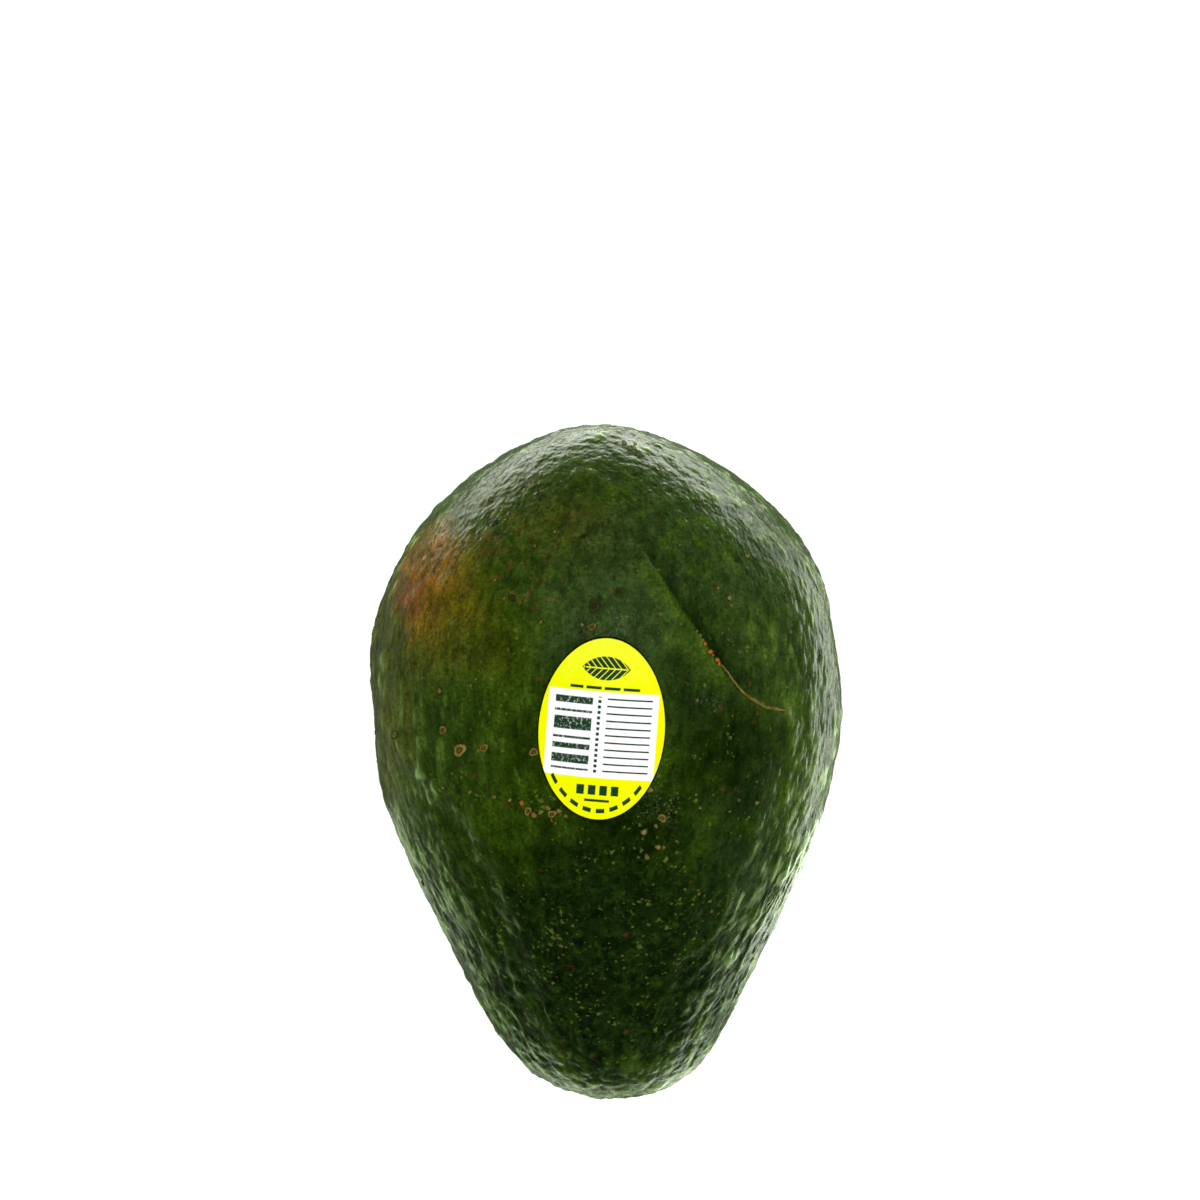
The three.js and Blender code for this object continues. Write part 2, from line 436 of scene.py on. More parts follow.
def speckleGroup():
    # dots in seeded places: size is a share of the cell, and only some cells have one
    inputs = {"Vector": (0, 0, 0), "Cell": 2.0, "Size": 0.2, "Share": 0.5}
    group, given, out = newGroup("speckle", inputs, "Mask")
    scale = calc(group, "DIVIDE", perMetre, given["Cell"])
    noise = put(group, "TexNoise", {"Vector": given["Vector"], "Scale": dotBend["detail"]})
    sway = {0: noise.outputs["Color"], "Scale": dotBend["reach"]}
    sway = put(group, "VectorMath", sway, operation="SCALE").outputs[0]
    bent = vectorCalc(group, "ADD", given["Vector"], sway)
    cells = put(group, "TexVoronoi", {"Vector": bent, "Scale": scale})
    chance = put(group, "SeparateColor", [cells.outputs["Color"]])
    size = product(group, given["Size"], fade(group, chance.outputs[1], 0.0, 1.0, 0.5, 1.0))
    ragged = minus(group, cloud(group, given["Vector"], dotBend["edgeSize"], 3.0, 0.7), 0.5)
    ragged = product(group, ragged, dotBend["ragged"])
    away = plus(group, calc(group, "DIVIDE", cells.outputs["Distance"], size), ragged)
    dot = minus(group, 1.0, fade(group, away, 0.55, 1.0))
    kept = calc(group, "LESS_THAN", chance.outputs[0], given["Share"])
    group.links.new(product(group, dot, kept), out["Mask"])
    return group


def patchGroup():
    # a ragged patch round a centre, in metres
    inputs = {"Vector": (0, 0, 0), "Centre": (0, 0, 0), "Reach": (0.01, 0.01, 0.01)}
    group, given, out = newGroup("skinPatch", {**inputs, "Ragged": 0.5, "Core": 0.3}, "Mask")
    offset = vectorCalc(group, "SUBTRACT", given["Vector"], given["Centre"])
    away = vectorCalc(group, "LENGTH", vectorCalc(group, "DIVIDE", offset, given["Reach"]), out="Value")
    rough = minus(group, cloud(group, given["Vector"], 7.0, 4.0, 0.6), 0.5)
    away = plus(group, away, product(group, rough, given["Ragged"]))
    group.links.new(fade(group, away, given["Core"], 1.0, 1.0, 0.0), out["Mask"])
    return group


def grainGroup():
    # the fine grain of a skin or a bark, as a height
    group, given, out = newGroup("fineGrain", {"Vector": (0, 0, 0), "Size": 0.6}, "Height")
    scale = calc(group, "DIVIDE", perMetre, given["Size"])
    cells = {"Vector": given["Vector"], "Scale": scale}
    noise = put(group, "TexNoise", {**cells, "Detail": 3})
    cells = put(group, "TexVoronoi", cells, feature="SMOOTH_F1")
    group.links.new(plus(group, cells.outputs["Distance"], noise.outputs[0]), out["Height"])
    return group


speckle = speckleGroup()
skinPatch = patchGroup()
fineGrain = grainGroup()


def newMaterial(name):
    material = bpy.data.materials.new(name)
    material.use_nodes = True
    tree = material.node_tree
    return material, tree, tree.nodes["Principled BSDF"]


# Colours are linear, and a place is a middle and a reach in millimetres
skin = {
    "darkGreen": (0.02, 0.042, 0.0022, 1),
    "midGreen": (0.036, 0.072, 0.003, 1),
    "paleGreen": (0.056, 0.108, 0.008, 1),
    "paintedSheenGreen": (0.034, 0.062, 0.015, 1),
    "coolDark": (0.01, 0.023, 0.005, 1),
    "paintedLightFlankGreen": (0.05, 0.092, 0.0085, 1),
    "leftFlank": (0.062, 0.072, 0.005, 1),
    "neckGreen": (0.0045, 0.0125, 0.001, 1),
    "neckMottle": (0.02, 0.06, 0.004, 1),
    "olive": (0.05, 0.068, 0.003, 1),
    "brown": (0.062, 0.042, 0.006, 1),
    "blush": (0.23, 0.098, 0.007, 1),
    "blushEdge": (0.125, 0.102, 0.004, 1),
    "blushDeep": (0.18, 0.05, 0.016, 1),
    "paintedRimHighlight": (0.32, 0.48, 0.18, 1),
    "mottle": (0.12, 0.075, 0.012, 1),
    "scuffAndSheen": (0.13, 0.175, 0.09, 1),
    "rust": (0.105, 0.04, 0.009, 1),
    "tan": (0.125, 0.098, 0.02, 1),
    "lenticel": (0.092, 0.128, 0.015, 1),
    "pit": (0.005, 0.008, 0.0015, 1),
    # what the colour below is multiplied by
    "tints": {
        "blushFurrow": (0.4, 0.5, 0.6, 1),
        "blushStreak": (1.7, 1.5, 1.5, 1),
        "fleckShade": (0.45, 0.5, 0.4, 1),
        "speckShade": (0.35, 0.42, 0.3, 1),
        "speckLight": (1.8, 1.6, 2.0, 1),
        "furrowShade": (0.32, 0.4, 0.3, 1),
        "topLight": (1.5, 1.4, 1.6, 1),
        "stripeShade": (0.4, 0.48, 0.4, 1),
    },
    "coolPlace": ((7, 27, 60), (30, 26, 28)),
    "leftSide": ((-35, 8, 42), (12, 30, 26)),
    "olivePlace": ((-16, 18, 63), (9, 9, 10)),
    "brownPlace": ((-6, 36, 59), (15, 10, 14)),
    "besideLabel": ((14, 13, 63), (9.5, 13, 12)),
    "leftNeck": ((-21.5, -13, 52), (12, 19, 20)),
    "neckPlace": ((1.3, -27.5, 48), (33, 31, 38)),
    "belowLabel": ((5, -8, 64), (14, 11, 12)),
    "rightPlace": ((19.5, 1.5, 60), (12.5, 12, 14)),
    "rightNeck": ((18.5, -13, 53), (13, 17, 18)),
    "blushAround": ((-24, 24, 54), (13.5, 14.5, 16)),
    "farBlush": ((20, 15, 8), (14, 20, 14)),
    "blushPlace": ((-27.6, 28.8, 51.5), (9.7, 12.8, 15)),
    "blushDeepPlace": ((-28.8, 25, 50.5), (5, 5.5, 11)),
    "mottlePlace": ((-15, 31, 56), (22, 20, 20)),
    "scuffAndSheenPlaces": [
        ((1.5, 21.2, 66), (6.5, 4.5, 8)),
        ((7.8, -5.5, 65), (4, 5, 8)),
        ((15, 10, 64), (3, 2, 6)),
    ],
    # patches in the order in which they lie: place, raggedness, core, colour and strength
    "patches": [
        ("olivePlace", 0.8, 0.1, "olive", 1.0),
        ("brownPlace", 1.0, 0.1, "brown", 0.2),
        ("besideLabel", 0.8, 0.2, "coolDark", 0.9),
        ("leftNeck", 0.8, 0.3, "darkGreen", 0.8),
        ("neckPlace", 0.7, 0.42, "neckGreen", 0.94),
        ("belowLabel", 1.0, 0.2, "neckGreen", 0.8),
        ("rightPlace", 0.7, 0.4, "neckGreen", 0.9),
        ("rightNeck", 0.9, 0.2, "coolDark", 0.85),
        ("blushAround", 0.7, 0.2, "blushEdge", 1.0),
        ("farBlush", 0.8, 0.1, "blushEdge", 1.0),
        ("blushPlace", 0.9, 0.2, "blush", 1.0),
        ("blushDeepPlace", 1.2, 0.2, "blushDeep", 0.75),
    ],
    # dots: cell in millimetres, size as a share of it, and the share of the cells that have one
    "lenticelDots": [(0.7, 0.38, 0.45), (1.3, 0.36, 0.5)],
    "tanDots": [(2.6, 0.13, 0.5), (4.1, 0.09, 0.6)],
    "rustDots": [(2.4, 0.3, 0.5)],
    "pitDots": [(6.2, 0.14, 0.5), (4.3, 0.12, 0.4)],
    # noise: size in millimetres, detail, roughness and distortion
    "broad": (22.0, 3.0),
    "streak": (3.2, 4.0, 0.6, 0.3),
    "blotch": (5.0, 5.0, 0.7, 0.5),
    "fleck": (1.5, 3.0, 0.6),
    "speck": (0.5, 4.0, 0.7),
    "cluster": (5.5, 5.0, 0.7),
    "stripes": (1.9, 3.0, 0.6, 0.4),
    "wipe": (1.5, 4.0, 0.65),
    "stain": (1.5, 4.0, 0.7, 0.8),
    "greenStain": (1.4, 4.0, 0.75, 0.5),
    "scratch": (0.45, 4.0, 0.7, 1.2),
    "roughGrain": (1.2, 3.0, 0.6),
    "alongShare": 0.42,
    "stripeShare": 0.2,
    "wipeTurn": math.radians(-30),
    "grainSize": 0.7,
    "bump": (0.5, 0.0002),
}


def skinMaterial():
    material, tree, shader = newMaterial("avocadoSkin")
    place = objectPlace(tree)
    parts = put(tree, "SeparateXYZ", [place]).outputs
    along = stretch(tree, place, skin["alongShare"])
    slanted = {"Vector": place, "Rotation": (0, 0, skin["wipeTurn"]), "Scale": (1, 4, 1)}
    slanted = put(tree, "Mapping", slanted, vector_type="TEXTURE").outputs[0]

    def patch(name, ragged, core):
        centre, reach = (Vector(part) * mm for part in skin.get(name, name))
        return useGroup(tree, skinPatch, Vector=place, Centre=centre, Reach=reach, Ragged=ragged, Core=core)

    def dots(name):
        kinds = [dict(zip(("Cell", "Size", "Share"), kind)) for kind in skin[name]]
        return greatest(tree, *[useGroup(tree, speckle, Vector=place, **kind) for kind in kinds])

    def noise(name, where=place):
        return cloud(tree, where, *skin[name])

    streak = noise("streak", along)
    blotch = noise("blotch")
    speck = noise("speck")
    cluster = noise("cluster")
    stripes = noise("stripes", stretch(tree, place, skin["stripeShare"]))
    wipe = noise("wipe", slanted)
    stain = fade(tree, noise("stain"), 0.52, 0.6)
    green = fade(tree, noise("greenStain"), 0.52, 0.62)
    scratch = fade(tree, noise("scratch"), 0.56, 0.64)
    top = maskOf(tree, "pebbleTop")
    neck = patch("neckPlace", 0.9, 0.4)
    leftSide = patch("leftSide", 0.7, 0.2)
    blushed = patch("blushAround", 0.6, 0.4)
    onNeck = fade(tree, parts[1], 0.004, -0.022)

    # painted light: low on the sides the skin is made paler than on the upper face, and the painted shade and
    # light on the pebbles are stronger there
    flank = fade(tree, plus(tree, parts[2], product(tree, blotch, 0.012)), 0.062, 0.04)
    belly = fade(tree, parts[1], -0.03, 0.01, 0.1, 1.0)
    strong = fade(tree, flank, 0.0, 1.0, 0.5, 1.0)

    # a painted highlight on what is raised, where the skin turns away towards its rim, less at the left side
    # and the neck
    facing = put(tree, "LayerWeight", {"Blend": 0.5}).outputs["Facing"]
    raised = product(tree, fade(tree, top, 0.42, 0.82, 0.08, 1.0), fade(tree, streak, 0.42, 0.6, 0.15, 1.0))
    raised = greatest(tree, raised, product(tree, fade(tree, stripes, 0.5, 0.64), onNeck))
    rimHighlightMask = product(tree, fade(tree, facing, 0.3, 0.8), fade(tree, facing, 0.75, 0.97, 1.0, 0.25))
    rimHighlightMask = product(tree, rimHighlightMask, fade(tree, leftSide, 0.0, 1.0, 1.0, 0.35))
    rimHighlightMask = product(tree, rimHighlightMask, fade(tree, parts[1], -0.03, 0.0, 0.58, 1.0), raised)

    # lenticels crowd in clusters, and more so on the neck
    crowd = fade(tree, plus(tree, cluster, product(tree, neck, 0.07)), 0.53, 0.62)
    ripe = blend(tree, fade(tree, blotch, 0.52, 0.6), skin["lenticel"], skin["tan"])

    # from the lowest up: mask, colour or tint, and strength
    layers = [
        # painted sheen: a bluer green over the upper face
        (patch("coolPlace", 0.8, 0.3), "paintedSheenGreen", 0.75),
        # painted light: paler low on the sides
        (product(tree, flank, belly), "paintedLightFlankGreen", 1.0),
        (leftSide, "leftFlank", 1.0),
        (fade(tree, streak, 0.52, 0.68), "paleGreen", 0.75),
        *[(patch(name, ragged, core), above, share) for name, ragged, core, above, share in skin["patches"]],
        (product(tree, fade(tree, wipe, 0.5, 0.36), blushed), "blushFurrow", 0.8),
        (product(tree, fade(tree, wipe, 0.53, 0.68), blushed), "blushStreak", 0.8),
        (product(tree, stain, patch("mottlePlace", 0.8, 0.3)), "mottle", 0.6),
        (fade(tree, blotch, 0.47, 0.3), "darkGreen", 0.65),
        # painted highlight and painted shade on the two sides of the long crease
        (maskOf(tree, "paintedFoldHighlight"), "paleGreen", 0.9),
        (maskOf(tree, "paintedFoldShade"), "neckGreen", 0.9),
        (fade(tree, noise("fleck", along), 0.56, 0.36), "fleckShade", 0.7),
        (fade(tree, speck, 0.5, 0.36), "speckShade", 0.75),
        (fade(tree, speck, 0.53, 0.68), "speckLight", 0.75),
        # painted shade in the furrows and painted light on the pebble tops
        (product(tree, fade(tree, top, 0.5, 0.15), strong), "furrowShade", 1.0),
        (product(tree, fade(tree, top, 0.52, 0.85), strong), "topLight", 1.0),
        # painted shade in the dark streaks between the neck's lit streaks
        (product(tree, fade(tree, stripes, 0.49, 0.38), onNeck), "stripeShade", 0.8),
        # painted highlight along the rims
        (rimHighlightMask, "paintedRimHighlight", 0.95),
        (product(tree, green, neck), "neckMottle", 0.35),
        (product(tree, dots("lenticelDots"), crowd), ripe, 0.7),
        # pale scratches: partly scuffs in the wax and partly painted sheen
        *[(product(tree, scratch, patch(spot, 1.4, 0.1)), "scuffAndSheen", 0.8) for spot in skin["scuffAndSheenPlaces"]],
        (dots("tanDots"), "tan", 0.85),
        (product(tree, dots("rustDots"), fade(tree, cluster, 0.5, 0.4)), "rust", 0.45),
        (dots("pitDots"), "pit", 0.85),
    ]
    colour = blend(tree, fade(tree, noise("broad"), 0.38, 0.62), skin["darkGreen"], skin["midGreen"])
    for mask, above, share in layers:
        mask = product(tree, mask, share)
        if above in skin["tints"]:
            colour = blend(tree, mask, colour, skin["tints"][above], "MULTIPLY")
        else:
            colour = blend(tree, mask, colour, skin.get(above, above))

    gloss = plus(tree, fade(tree, blotch, 0.3, 0.7, 0.13, 0.24), fade(tree, top, 0.0, 1.0, 0.08, 0.0))
    gloss = plus(tree, gloss, product(tree, neck, 0.08))
    grain = useGroup(tree, fineGrain, Vector=along, Size=skin["grainSize"])
    grain = plus(tree, grain, noise("roughGrain", along))
    finish(tree, shader, colour, gloss, grain, skin["bump"])
    shader.inputs["IOR"].default_value = 1.17  # low, so that the middle shines little and the rim much
    return material


# Places and sizes on the label are millimetres from its middle; a box is its middle, width and height
film = {
    "yellow": (0.84, 0.9, 0.0, 1),
    "white": (0.94, 0.94, 0.94, 1),
    "ink": (0.012, 0.045, 0.016, 1),
    "rim": (0.001, 0.002, 0.001, 1),
    "printGlints": (0.6, 0.6, 0.55, 1),
    "edge": 0.05,
    "band": (0, -0.6, 16.0, 12.8),
    "column": (-0.6, -0.6, 0.45, 11.4),
    "lines": (3.8, -0.6, 6.6, 11.4),
    "linesPerMm": 0.93,
    "dotsPerMm": 1.25,
    "line": (0, -10.5, 3.6, 0.4),
    "bars": [
        (-4.3, 4.35, 5.4, 1.0), (-4.3, 2.75, 5.4, 0.35), (-4.3, 0.9, 5.4, 1.9), (-4.3, -1.2, 5.4, 0.35),
        (-4.3, -2.5, 5.4, 0.8), (-4.3, -4.4, 5.4, 1.3), (-4.3, -5.9, 5.4, 0.3),
    ],
    "dashes": [
        (-4.1, 6.35, 1.9, 0.42), (-1.6, 6.35, 2.2, 0.42), (1.1, 6.35, 2.3, 0.42), (3.9, 6.35, 2.4, 0.42),
    ],
    "squares": [(-2.5 + 1.67 * n, -8.9, 1.1, 1.5) for n in range(4)],
    "leaf": {"up": 9.2, "apart": 2.8, "radius": 4.5, "rib": (0, 9.2, 6.0, 0.18), "slope": 1.1},
    # a broken line round the foot: its place and the dark rim's (a painted shadow at the film's edge) as
    # shares of the way out, its dashes and its reach
    "ring": {"out": 0.885, "rim": (0.975, 0.985), "dashes": 4.2, "inked": 0.62, "reach": 0.95},
    "bump": (0.2, 0.0001),
}


def labelMaterial():
    material, tree, shader = newMaterial("labelFilm")
    uv = put(tree, "UVMap", uv_map="labelPlace").outputs[0]
    parts = put(tree, "SeparateXYZ", [uv]).outputs
    x = product(tree, minus(tree, parts[0], 0.5), label["width"])
    y = product(tree, minus(tree, parts[1], 0.5), label["length"])
    edge = film["edge"]
    leaf, ring = film["leaf"], film["ring"]

    def far(value, place):
        return calc(tree, "ABSOLUTE", minus(tree, value, place))

    def box(across, up, width, height):
        beside = minus(tree, far(x, across), width / 2)
        above = minus(tree, far(y, up), height / 2)
        return fade(tree, greatest(tree, beside, above), edge, -edge)

    def boxes(name):
        return greatest(tree, *[box(*given) for given in film[name]])

    def outside(up, radius):
        # distance from a circle whose middle is on the label's long axis
        dy = minus(tree, y, up)
        away = plus(tree, product(tree, x, x), product(tree, dy, dy))
        return minus(tree, calc(tree, "SQRT", away), radius)

    def wave(value, rate):
        # 0 in the middle of each repeat and 0.5 at its ends
        return far(calc(tree, "FRACT", product(tree, value, rate)), 0.5)

    # in the band: bars on the left with pale patches of painted glint, a column of dots, and even lines on
    # the right
    barGlints = fade(tree, cloud(tree, uv, 22.0, 5.0, 0.75), 0.52, 0.62, 1.0, 0.55)
    bars = product(tree, boxes("bars"), barGlints)
    column = calc(tree, "LESS_THAN", wave(y, film["dotsPerMm"]), 0.28)
    column = product(tree, column, box(*film["column"]))
    lines = fade(tree, wave(y, film["linesPerMm"]), 0.13, 0.09)
    lines = product(tree, lines, box(*film["lines"]))

    # a leaf where two circles meet, with its veins left out of the ink
    circles = [outside(leaf["up"] + side * leaf["apart"], leaf["radius"]) for side in (-1, 1)]
    slope = plus(tree, product(tree, x, leaf["slope"]), far(y, leaf["up"]))
    drawn = fade(tree, greatest(tree, *circles), edge, -edge)
    ribbed = minus(tree, 1.0, box(*leaf["rib"]))
    drawn = product(tree, drawn, ribbed, fade(tree, wave(slope, 1.0), 0.05, 0.12))

    across, down = calc(tree, "DIVIDE", x, label["width"]), calc(tree, "DIVIDE", y, -label["length"])
    turn = calc(tree, "ARCTAN2", across, down)
    out = [calc(tree, "DIVIDE", x, label["width"] / 2), calc(tree, "DIVIDE", y, label["length"] / 2), 0.0]
    out = vectorCalc(tree, "LENGTH", put(tree, "CombineXYZ", out).outputs[0], out="Value")
    dashes = calc(tree, "FRACT", product(tree, turn, ring["dashes"]))
    broken = product(
        tree,
        calc(tree, "LESS_THAN", dashes, ring["inked"]),
        fade(tree, far(out, ring["out"]), 0.03, 0.02),
        calc(tree, "LESS_THAN", calc(tree, "ABSOLUTE", turn), ring["reach"]),
    )

    plain = greatest(tree, boxes("dashes"), boxes("squares"), box(*film["line"]))
    inked = greatest(tree, bars, column, lines, drawn, plain, broken)
    colour = blend(tree, box(*film["band"]), film["yellow"], film["white"])
    colour = blend(tree, inked, colour, film["ink"])
    # pale patches over the print: painted glints where the skin's bumps push through the film
    printGlints = fade(tree, cloud(tree, uv, 18.0, 4.0, 0.7), 0.66, 0.72, 0.0, 0.5)
    colour = blend(tree, printGlints, colour, film["printGlints"])
    # a dark rim round the edge: painted shadow of the film's edge
    colour = blend(tree, fade(tree, out, *ring["rim"]), colour, film["rim"])
    place = objectPlace(tree)
    gloss = fade(tree, cloud(tree, place, 2.2, 3.0), 0.3, 0.7, 0.16, 0.32)
    finish(tree, shader, colour, gloss, cloud(tree, place, 1.1, 3.0), film["bump"])
    shader.inputs["IOR"].default_value = 1.35
    return material


wood = {
    "light": (0.24, 0.145, 0.062, 1),
    "dark": (0.06, 0.032, 0.013, 1),
    "cut": (0.17, 0.12, 0.06, 1),
    "rings": 4.0,
    "bump": (0.6, 0.0002),
}


def stemMaterial():
    material, tree, shader = newMaterial("stemWood")
    across = maskOf(tree, "fromCore")
    grain = cloud(tree, stretch(tree, objectPlace(tree), 0.25), 0.5, 5.0, 0.7)
    colour = blend(tree, fade(tree, grain, 0.3, 0.7), wood["dark"], wood["light"])
    wavy = plus(tree, across, product(tree, grain, 0.12))
    rings = calc(tree, "FRACT", product(tree, wavy, wood["rings"]))
    colour = blend(tree, fade(tree, rings, 0.6, 0.9, 0.0, 0.5), colour, wood["cut"])
    colour = blend(tree, fade(tree, across, 0.85, 1.0, 0.0, 0.6), colour, wood["dark"])
    finish(tree, shader, colour, fade(tree, grain, 0.2, 0.8, 0.65, 0.95), grain, wood["bump"])
    return material


cork = {
    "pale": (0.19, 0.17, 0.036, 1),
    "brown": (0.095, 0.07, 0.012, 1),
    "core": (0.045, 0.02, 0.005, 1),
    "orange": (0.27, 0.095, 0.008, 1),
    "dark": (0.012, 0.016, 0.003, 1),
    "grainSize": 0.35,
    "bump": (0.5, 0.0001),
}


def corkMaterial():
    material, tree, shader = newMaterial("cork")
    place = objectPlace(tree)
    out, tone = maskOf(tree, "fromCore"), maskOf(tree, "tone")
    patchy = cloud(tree, place, 0.6, 4.0, 0.7)
    # a pale ring round a dark core that has a pale grain in its middle
    colour = blend(tree, fade(tree, patchy, 0.35, 0.65), cork["brown"], cork["pale"])
    colour = blend(tree, fade(tree, out, 0.55, 0.42, 0.0, 0.85), colour, cork["core"])
    colour = blend(tree, fade(tree, out, 0.16, 0.08, 0.0, 0.8), colour, cork["pale"])
    colour = blend(tree, fade(tree, tone, -0.2, -0.6), colour, cork["orange"])
    colour = blend(tree, fade(tree, out, 0.74, 0.98), colour, cork["dark"])
    colour = blend(tree, product(tree, fade(tree, tone, 0.0, 1.0), 0.9), colour, cork["dark"])
    grain = useGroup(tree, fineGrain, Vector=place, Size=cork["grainSize"])
    finish(tree, shader, colour, fade(tree, patchy, 0.2, 0.8, 0.55, 0.85), grain, cork["bump"])
    shader.inputs["IOR"].default_value = 1.1
    return material


skinFinish = skinMaterial()
filmFinish = labelMaterial()
stemFinish = stemMaterial()
corkFinish = corkMaterial()
print("materials made")


def makeFruit():
    # a cube's even squares, blown up to a sphere and then to the fruit
    bm = bmesh.new()
    bmesh.ops.create_cube(bm, size=2)
    bmesh.ops.subdivide_edges(bm, edges=bm.edges[:], cuts=fruit["cuts"], use_grid_fill=True)
    piece = toPiece("avocadoSkin", bm, skinFinish, "fruit")
    mesh = piece.data
    directions = np.tan(readPoints(mesh) * math.pi / 4)
    directions /= np.linalg.norm(directions, axis=1)[:, None]
    points = smoothSkin(directions)
    low, high = points.min(0), points.max(0)
    shift = np.array([-(low[0] + high[0]) / 2, -(low[1] + high[1]) / 2, -low[2] - fruit["flatSpot"]])
    return piece, points + shift, shift


def raiseSkin(piece, points):
    mesh = piece.data
    writePoints(mesh, points)
    normals = readPoints(mesh, "normal")
    height = skinHeight(points, normals)
    raised = points + normals * height[:, None]
    raised[:, 2] = np.maximum(raised[:, 2], 0)
    tops = pebbles(points) + ridges(points)
    writeMask(mesh, "pebbleTop", np.clip(0.5 + tops / relief["topRange"], 0, 1))
    # painted highlight on one side of the long crease and painted shade on the other
    fold = relief["fold"]
    before, beyond = fold["edge"]
    away = fromPath(relief["creases"][0][0], points[:, 0], points[:, 1])
    ends = smoothStep(points[:, 1], *fold["start"]) * smoothStep(points[:, 1], *fold["end"])
    ends = ends * (normals[:, 2] > 0)
    for name, side in (("paintedFoldHighlight", -1), ("paintedFoldShade", 1)):
        near = np.exp(-np.abs(away - side * beyond) / fold["reach"])
        writeMask(mesh, name, ends * near * smoothStep(away, -side * before, side * beyond))
    writeFinal(mesh, raised)


skinPiece, smoothPoints, toFloor = makeFruit()
raiseSkin(skinPiece, smoothPoints)
print("fruit raised", len(skinPiece.data.polygons))


def disc(points):
    # a square grid's points moved onto a disc of radius 1
    u, v = points[:, 0], points[:, 1]
    return u * np.sqrt(1 - v * v / 2), v * np.sqrt(1 - u * u / 2)


def thicken(piece, name, thickness, offset):
    wall = piece.modifiers.new(name, "SOLIDIFY")
    wall.thickness = thickness * mm
    wall.offset = offset


def makeLabel():
    bm = bmesh.new()
    bmesh.ops.create_grid(bm, x_segments=label["cells"][0], y_segments=label["cells"][1], size=1)
    piece = toPiece("fruitLabel", bm, filmFinish, "label")
    mesh = piece.data
    u, v = disc(readPoints(mesh))
    corners = np.zeros(len(mesh.loops), dtype=np.int32)
    mesh.loops.foreach_get("vertex_index", corners)
    spread = np.stack([u[corners] / 2 + 0.5, v[corners] / 2 + 0.5], 1).astype(np.float32)
    mesh.uv_layers.new(name="labelPlace").data.foreach_set("uv", spread.ravel())
    points = labelPoint(u * label["width"] / 2, v * label["length"] / 2) + toFloor
    writePoints(mesh, points)
    normals = readPoints(mesh, "normal")
    writeFinal(mesh, points + normals * (skinHeight(points, normals) + label["lift"])[:, None])
    thicken(piece, "film", label["thickness"], 1)


makeLabel()
print("label laid on")

stub = {
    "radius": 2.6,
    "height": 2.9,
    # half of its outline, as shares of the radius and the height
    "side": [
        (0.0, 0.0), (0.8, 0.0), (0.9, 0.16), (0.84, 0.4), (0.9, 0.62),
        (1.0, 0.8), (0.97, 0.93), (0.8, 1.0), (0.4, 0.96), (0.0, 0.93),
    ],
    "steps": 48,
    "rough": 0.16,
}


def makeStub():
    # the half outline spun about its axis, then roughened
    bm = bmesh.new()
    chain = [bm.verts.new((out * stub["radius"], -up * stub["height"], 0)) for out, up in stub["side"]]
    edges = [bm.edges.new(pair) for pair in zip(chain, chain[1:])]
    bmesh.ops.subdivide_edges(bm, edges=edges, cuts=3)
    halfOutline = bm.verts[:] + bm.edges[:]
    fullTurn = {"axis": (0, 1, 0), "cent": (0, 0, 0), "steps": stub["steps"], "angle": 2 * math.pi}
    bmesh.ops.spin(bm, geom=halfOutline, use_merge=True, **fullTurn)
    bmesh.ops.remove_doubles(bm, verts=bm.verts[:], dist=0.001)
    bmesh.ops.recalc_face_normals(bm, faces=bm.faces[:])
    mesh = toPiece("stemStub", bm, stemFinish, "stem_button").data
    points = readPoints(mesh)
    normals = readPoints(mesh, "normal")
    writeMask(mesh, "fromCore", np.hypot(points[:, 0], points[:, 2]) / stub["radius"])
    rough = drift(points * np.array([1, 0.4, 1]), 0.8, 31) - 0.5 + (drift(points, 0.35, 32) - 0.5) * 0.5
    points = points + normals * (rough * 2 * stub["rough"])[:, None]
    turned = points @ np.array(Matrix.Rotation(fruit["restTilt"], 3, "X")).T
    writeFinal(mesh, turned + stubFoot() + toFloor)


makeStub()
print("stub seated")

